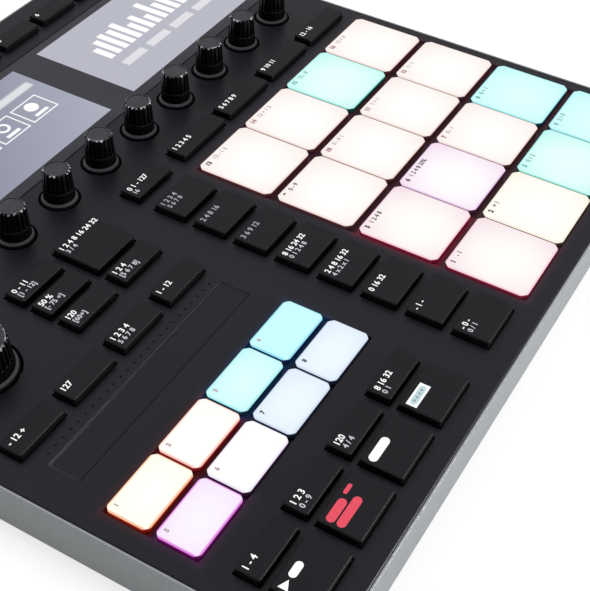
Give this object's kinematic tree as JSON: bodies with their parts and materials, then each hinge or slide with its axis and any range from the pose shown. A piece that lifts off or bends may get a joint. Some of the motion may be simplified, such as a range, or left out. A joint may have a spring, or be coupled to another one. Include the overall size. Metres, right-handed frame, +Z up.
{
  "type": "drum machine",
  "caption": "Desktop drum machine with a grid of lit square pads, a block of smaller group pads, two flat screens, fluted knobs and rows of press keys on a low metal case.",
  "frame": {"origin": "on the table that the four feet stand on, under the middle of the whole part in plan", "axes": "+X to the player's right, +Y to the back edge, +Z up"},
  "size_m": [0.32, 0.306, 0.041],
  "materials": {
    "case_shell": "fine bead-blasted, satin",
    "panel_plate": "satin charcoal coat",
    "screen_glass": "tinted, glossy",
    "screen_module": "lit screen face",
    "strip_film": "smooth satin",
    "feet_rubber": "matt",
    "screw_steel": "black zinc",
    "circuit_board": "solder mask",
    "encoder_metal": "plain",
    "socket_plastic": "moulded",
    "socket_metal": "nickel",
    "knob_black": "satin skirt, fluted side",
    "key_black": "soft satin",
    "pad_silicone": "translucent, lit from below"
  },
  "bodies": {
    "chassis": {"case": "case_shell", "top_panel": "panel_plate", "display_glass": "screen_glass", "display_modules": "screen_module", "touch_strip": "strip_film", "feet": "feet_rubber", "case_screws": "screw_steel", "main_board": "circuit_board", "pad_sensor_boards": "circuit_board", "encoders": "encoder_metal", "audio_jacks": "socket_plastic", "midi_sockets": "socket_plastic", "usb_socket": "socket_metal", "dc_socket": "socket_plastic"},
    "pad_01_body": {"pad_01": "pad_silicone"},
    "pad_02_body": {"pad_02": "pad_silicone"},
    "pad_03_body": {"pad_03": "pad_silicone"},
    "pad_04_body": {"pad_04": "pad_silicone"},
    "pad_05_body": {"pad_05": "pad_silicone"},
    "pad_06_body": {"pad_06": "pad_silicone"},
    "pad_07_body": {"pad_07": "pad_silicone"},
    "pad_08_body": {"pad_08": "pad_silicone"},
    "pad_09_body": {"pad_09": "pad_silicone"},
    "pad_10_body": {"pad_10": "pad_silicone"},
    "pad_11_body": {"pad_11": "pad_silicone"},
    "pad_12_body": {"pad_12": "pad_silicone"},
    "pad_13_body": {"pad_13": "pad_silicone"},
    "pad_14_body": {"pad_14": "pad_silicone"},
    "pad_15_body": {"pad_15": "pad_silicone"},
    "pad_16_body": {"pad_16": "pad_silicone"},
    "group_pad_1_body": {"group_pad_1": "pad_silicone"},
    "group_pad_2_body": {"group_pad_2": "pad_silicone"},
    "group_pad_3_body": {"group_pad_3": "pad_silicone"},
    "group_pad_4_body": {"group_pad_4": "pad_silicone"},
    "group_pad_5_body": {"group_pad_5": "pad_silicone"},
    "group_pad_6_body": {"group_pad_6": "pad_silicone"},
    "group_pad_7_body": {"group_pad_7": "pad_silicone"},
    "group_pad_8_body": {"group_pad_8": "pad_silicone"},
    "keys_section_body": {"keys_section": "key_black"},
    "keys_mode_body": {"keys_mode": "key_black"},
    "keys_edit_body": {"keys_edit": "key_black"},
    "keys_play_body": {"keys_play": "key_black"},
    "keys_transport_short_body": {"keys_transport_short": "key_black"},
    "keys_transport_tall_body": {"keys_transport_tall": "key_black"},
    "keys_screen_body": {"keys_screen": "key_black"},
    "keys_side_body": {"keys_side": "key_black"},
    "knob_1_body": {"knob_1": "knob_black"},
    "knob_2_body": {"knob_2": "knob_black"},
    "knob_3_body": {"knob_3": "knob_black"},
    "knob_4_body": {"knob_4": "knob_black"},
    "knob_5_body": {"knob_5": "knob_black"},
    "knob_6_body": {"knob_6": "knob_black"},
    "knob_7_body": {"knob_7": "knob_black"},
    "knob_8_body": {"knob_8": "knob_black"},
    "jog_stem_body": {"jog_stem": "encoder_metal"},
    "jog_cap_body": {"jog_cap": "knob_black"},
    "power_button_body": {"power_button": "key_black"},
    "mic_gain_knob_body": {"mic_gain_knob": "knob_black"},
    "main_level_knob_body": {"main_level_knob": "knob_black"},
    "phones_level_knob_body": {"phones_level_knob": "knob_black"}
  },
  "joints": [
    {"name": "pad_01_press", "type": "slide", "parent": "chassis", "child": "pad_01_body", "axis": [0, 0, -1], "range_m": [0, 0.0005], "stiffness_N_per_m": 1800, "springref_m": -0.0003},
    {"name": "pad_02_press", "type": "slide", "parent": "chassis", "child": "pad_02_body", "axis": [0, 0, -1], "range_m": [0, 0.0005], "stiffness_N_per_m": 1800, "springref_m": -0.0003},
    {"name": "pad_03_press", "type": "slide", "parent": "chassis", "child": "pad_03_body", "axis": [0, 0, -1], "range_m": [0, 0.0005], "stiffness_N_per_m": 1800, "springref_m": -0.0003},
    {"name": "pad_04_press", "type": "slide", "parent": "chassis", "child": "pad_04_body", "axis": [0, 0, -1], "range_m": [0, 0.0005], "stiffness_N_per_m": 1800, "springref_m": -0.0003},
    {"name": "pad_05_press", "type": "slide", "parent": "chassis", "child": "pad_05_body", "axis": [0, 0, -1], "range_m": [0, 0.0005], "stiffness_N_per_m": 1800, "springref_m": -0.0003},
    {"name": "pad_06_press", "type": "slide", "parent": "chassis", "child": "pad_06_body", "axis": [0, 0, -1], "range_m": [0, 0.0005], "stiffness_N_per_m": 1800, "springref_m": -0.0003},
    {"name": "pad_07_press", "type": "slide", "parent": "chassis", "child": "pad_07_body", "axis": [0, 0, -1], "range_m": [0, 0.0005], "stiffness_N_per_m": 1800, "springref_m": -0.0003},
    {"name": "pad_08_press", "type": "slide", "parent": "chassis", "child": "pad_08_body", "axis": [0, 0, -1], "range_m": [0, 0.0005], "stiffness_N_per_m": 1800, "springref_m": -0.0003},
    {"name": "pad_09_press", "type": "slide", "parent": "chassis", "child": "pad_09_body", "axis": [0, 0, -1], "range_m": [0, 0.0005], "stiffness_N_per_m": 1800, "springref_m": -0.0003},
    {"name": "pad_10_press", "type": "slide", "parent": "chassis", "child": "pad_10_body", "axis": [0, 0, -1], "range_m": [0, 0.0005], "stiffness_N_per_m": 1800, "springref_m": -0.0003},
    {"name": "pad_11_press", "type": "slide", "parent": "chassis", "child": "pad_11_body", "axis": [0, 0, -1], "range_m": [0, 0.0005], "stiffness_N_per_m": 1800, "springref_m": -0.0003},
    {"name": "pad_12_press", "type": "slide", "parent": "chassis", "child": "pad_12_body", "axis": [0, 0, -1], "range_m": [0, 0.0005], "stiffness_N_per_m": 1800, "springref_m": -0.0003},
    {"name": "pad_13_press", "type": "slide", "parent": "chassis", "child": "pad_13_body", "axis": [0, 0, -1], "range_m": [0, 0.0005], "stiffness_N_per_m": 1800, "springref_m": -0.0003},
    {"name": "pad_14_press", "type": "slide", "parent": "chassis", "child": "pad_14_body", "axis": [0, 0, -1], "range_m": [0, 0.0005], "stiffness_N_per_m": 1800, "springref_m": -0.0003},
    {"name": "pad_15_press", "type": "slide", "parent": "chassis", "child": "pad_15_body", "axis": [0, 0, -1], "range_m": [0, 0.0005], "stiffness_N_per_m": 1800, "springref_m": -0.0003},
    {"name": "pad_16_press", "type": "slide", "parent": "chassis", "child": "pad_16_body", "axis": [0, 0, -1], "range_m": [0, 0.0005], "stiffness_N_per_m": 1800, "springref_m": -0.0003},
    {"name": "group_pad_1_press", "type": "slide", "parent": "chassis", "child": "group_pad_1_body", "axis": [0, 0, -1], "range_m": [0, 0.0005], "stiffness_N_per_m": 1500, "springref_m": -0.0003},
    {"name": "group_pad_2_press", "type": "slide", "parent": "chassis", "child": "group_pad_2_body", "axis": [0, 0, -1], "range_m": [0, 0.0005], "stiffness_N_per_m": 1500, "springref_m": -0.0003},
    {"name": "group_pad_3_press", "type": "slide", "parent": "chassis", "child": "group_pad_3_body", "axis": [0, 0, -1], "range_m": [0, 0.0005], "stiffness_N_per_m": 1500, "springref_m": -0.0003},
    {"name": "group_pad_4_press", "type": "slide", "parent": "chassis", "child": "group_pad_4_body", "axis": [0, 0, -1], "range_m": [0, 0.0005], "stiffness_N_per_m": 1500, "springref_m": -0.0003},
    {"name": "group_pad_5_press", "type": "slide", "parent": "chassis", "child": "group_pad_5_body", "axis": [0, 0, -1], "range_m": [0, 0.0005], "stiffness_N_per_m": 1500, "springref_m": -0.0003},
    {"name": "group_pad_6_press", "type": "slide", "parent": "chassis", "child": "group_pad_6_body", "axis": [0, 0, -1], "range_m": [0, 0.0005], "stiffness_N_per_m": 1500, "springref_m": -0.0003},
    {"name": "group_pad_7_press", "type": "slide", "parent": "chassis", "child": "group_pad_7_body", "axis": [0, 0, -1], "range_m": [0, 0.0005], "stiffness_N_per_m": 1500, "springref_m": -0.0003},
    {"name": "group_pad_8_press", "type": "slide", "parent": "chassis", "child": "group_pad_8_body", "axis": [0, 0, -1], "range_m": [0, 0.0005], "stiffness_N_per_m": 1500, "springref_m": -0.0003},
    {"name": "keys_section_press", "type": "slide", "parent": "chassis", "child": "keys_section_body", "axis": [0, 0, -1], "range_m": [0, 0.0008], "stiffness_N_per_m": 1500, "springref_m": -0.0004},
    {"name": "keys_mode_press", "type": "slide", "parent": "chassis", "child": "keys_mode_body", "axis": [0, 0, -1], "range_m": [0, 0.0008], "stiffness_N_per_m": 1500, "springref_m": -0.0004},
    {"name": "keys_edit_press", "type": "slide", "parent": "chassis", "child": "keys_edit_body", "axis": [0, 0, -1], "range_m": [0, 0.0008], "stiffness_N_per_m": 1500, "springref_m": -0.0004},
    {"name": "keys_play_press", "type": "slide", "parent": "chassis", "child": "keys_play_body", "axis": [0, 0, -1], "range_m": [0, 0.0008], "stiffness_N_per_m": 1500, "springref_m": -0.0004},
    {"name": "keys_transport_short_press", "type": "slide", "parent": "chassis", "child": "keys_transport_short_body", "axis": [0, 0, -1], "range_m": [0, 0.0008], "stiffness_N_per_m": 1500, "springref_m": -0.0004},
    {"name": "keys_transport_tall_press", "type": "slide", "parent": "chassis", "child": "keys_transport_tall_body", "axis": [0, 0, -1], "range_m": [0, 0.0008], "stiffness_N_per_m": 1500, "springref_m": -0.0004},
    {"name": "keys_screen_press", "type": "slide", "parent": "chassis", "child": "keys_screen_body", "axis": [0, 0, -1], "range_m": [0, 0.0008], "stiffness_N_per_m": 1500, "springref_m": -0.0004},
    {"name": "keys_side_press", "type": "slide", "parent": "chassis", "child": "keys_side_body", "axis": [0, 0, -1], "range_m": [0, 0.0008], "stiffness_N_per_m": 1500, "springref_m": -0.0004},
    {"name": "knob_1_turn", "type": "hinge", "parent": "chassis", "child": "knob_1_body", "pos_m": [-0.062, 0.0405, 0.026], "axis": [0, 0, 1], "continuous": true},
    {"name": "knob_2_turn", "type": "hinge", "parent": "chassis", "child": "knob_2_body", "pos_m": [-0.0344, 0.0405, 0.026], "axis": [0, 0, 1], "continuous": true},
    {"name": "knob_3_turn", "type": "hinge", "parent": "chassis", "child": "knob_3_body", "pos_m": [-0.0068, 0.0405, 0.026], "axis": [0, 0, 1], "continuous": true},
    {"name": "knob_4_turn", "type": "hinge", "parent": "chassis", "child": "knob_4_body", "pos_m": [0.0208, 0.0405, 0.026], "axis": [0, 0, 1], "continuous": true},
    {"name": "knob_5_turn", "type": "hinge", "parent": "chassis", "child": "knob_5_body", "pos_m": [0.0484, 0.0405, 0.026], "axis": [0, 0, 1], "continuous": true},
    {"name": "knob_6_turn", "type": "hinge", "parent": "chassis", "child": "knob_6_body", "pos_m": [0.076, 0.0405, 0.026], "axis": [0, 0, 1], "continuous": true},
    {"name": "knob_7_turn", "type": "hinge", "parent": "chassis", "child": "knob_7_body", "pos_m": [0.1036, 0.0405, 0.026], "axis": [0, 0, 1], "continuous": true},
    {"name": "knob_8_turn", "type": "hinge", "parent": "chassis", "child": "knob_8_body", "pos_m": [0.1312, 0.0405, 0.026], "axis": [0, 0, 1], "continuous": true},
    {"name": "jog_press", "type": "slide", "parent": "chassis", "child": "jog_stem_body", "axis": [0, 0, -1], "range_m": [0, 0.0007], "stiffness_N_per_m": 1500, "springref_m": -0.0006},
    {"name": "jog_turn", "type": "hinge", "parent": "jog_stem_body", "child": "jog_cap_body", "pos_m": [-0.1234, 0.0053, 0.026], "axis": [0, 0, 1], "continuous": true},
    {"name": "power_press", "type": "slide", "parent": "chassis", "child": "power_button_body", "axis": [0, -1, 0], "range_m": [0, 0.0012], "stiffness_N_per_m": 900},
    {"name": "mic_gain_knob_turn", "type": "hinge", "parent": "chassis", "child": "mic_gain_knob_body", "pos_m": [-0.01, 0.148, 0.0129], "axis": [0, 1, 0], "range_deg": [-140, 140]},
    {"name": "main_level_knob_turn", "type": "hinge", "parent": "chassis", "child": "main_level_knob_body", "pos_m": [-0.11, 0.148, 0.0129], "axis": [0, 1, 0], "range_deg": [-140, 140]},
    {"name": "phones_level_knob_turn", "type": "hinge", "parent": "chassis", "child": "phones_level_knob_body", "pos_m": [-0.125, 0.148, 0.0129], "axis": [0, 1, 0], "range_deg": [-140, 140]}
  ]
}
